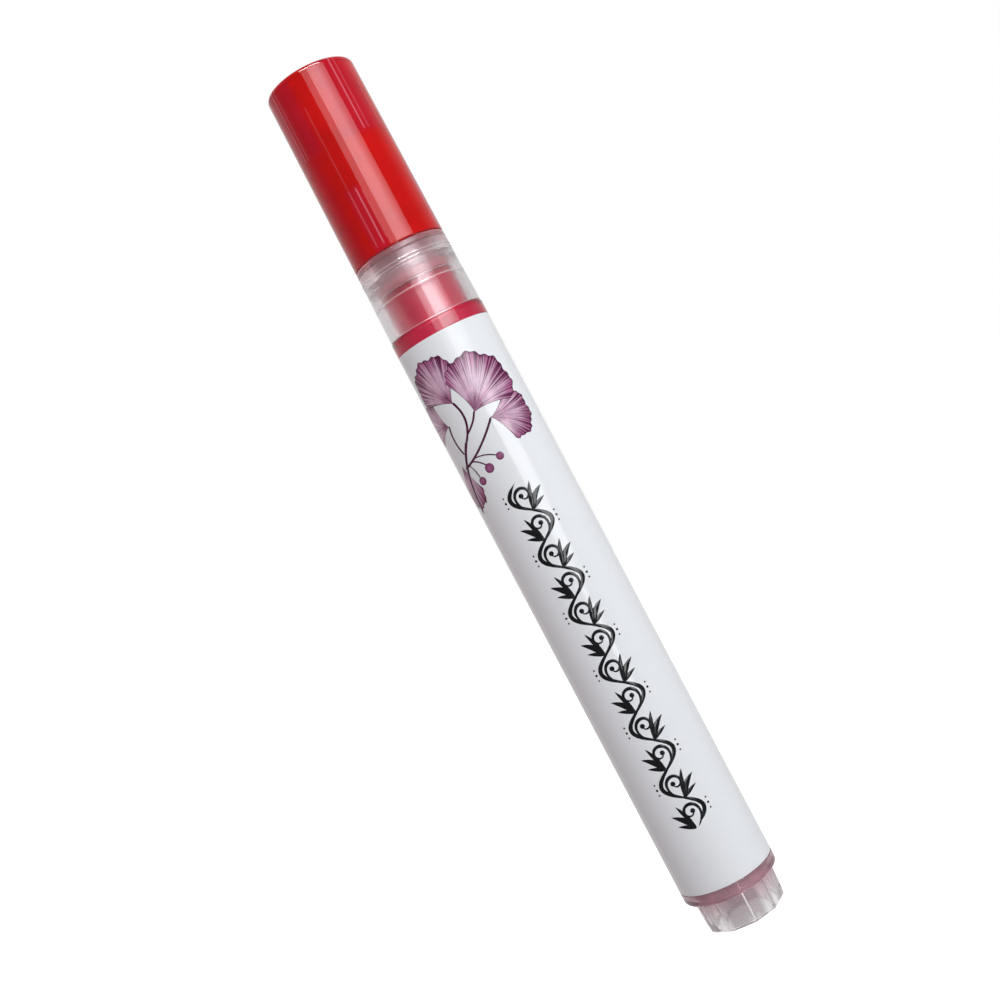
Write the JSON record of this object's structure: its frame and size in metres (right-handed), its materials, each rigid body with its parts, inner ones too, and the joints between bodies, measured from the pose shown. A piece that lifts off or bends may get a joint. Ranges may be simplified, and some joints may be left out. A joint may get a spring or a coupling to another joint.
{
  "type": "nail art pen",
  "caption": "Capped valve-action nail art pen: clear ink barrel with a wrapped label, clear collar, faceted end plug, sprung fibre nib and pull-off red cap.",
  "frame": {"origin": "middle of the end plug's foot, where the upright pen stands", "axes": "+Z along the pen's axis, from the end plug up to the cap's closed top; -Y faces the front of the label"},
  "size_m": [0.014, 0.014, 0.13],
  "materials": {
    "cap_plastic": "glossy saturated red, faintly translucent",
    "soft_plastic": "soft, matt, off-white",
    "clear_plastic": "clear, slightly milky",
    "frosted_plastic": "clear to frosted",
    "natural_plastic": "natural, satin",
    "white_plastic": "white, satin",
    "nib_fibre": "dense fibre, stained by the ink",
    "label_film": "glossy white printed film",
    "red_ink": "opaque red liquid",
    "seal_rubber": "pale silicone, matt",
    "spring_steel": "drawn wire",
    "polished_steel": "polished ball"
  },
  "bodies": {
    "pen_body": {"barrel": "frosted_plastic", "label": "label_film", "end_plug": "clear_plastic", "front_collar": "clear_plastic", "valve_housing": "natural_plastic", "neck_gasket": "seal_rubber", "seat_washer": "seal_rubber", "spring_retainer": "natural_plastic", "valve_spring": "spring_steel", "nose_cone": "natural_plastic", "ink": "red_ink"},
    "nib_and_valve": {"nib": "nib_fibre", "nib_sleeve": "white_plastic", "valve_plunger": "natural_plastic"},
    "cap": {"cap_shell": "cap_plastic", "cap_liner": "soft_plastic"},
    "ball": {"mixing_ball": "polished_steel"}
  },
  "joints": [
    {"name": "cap_pull", "type": "slide", "parent": "pen_body", "child": "cap", "axis": [0, 0, 1], "range_m": [0, 0.045]},
    {"name": "nib_press", "type": "slide", "parent": "pen_body", "child": "nib_and_valve", "axis": [0, 0, -1], "range_m": [0, 0.0015], "stiffness_N_per_m": 1000, "deforming": ["valve_spring"]},
    {"name": "ball_shake", "type": "slide", "parent": "pen_body", "child": "ball", "axis": [0, 0, 1], "range_m": [0, 0.0711]}
  ]
}
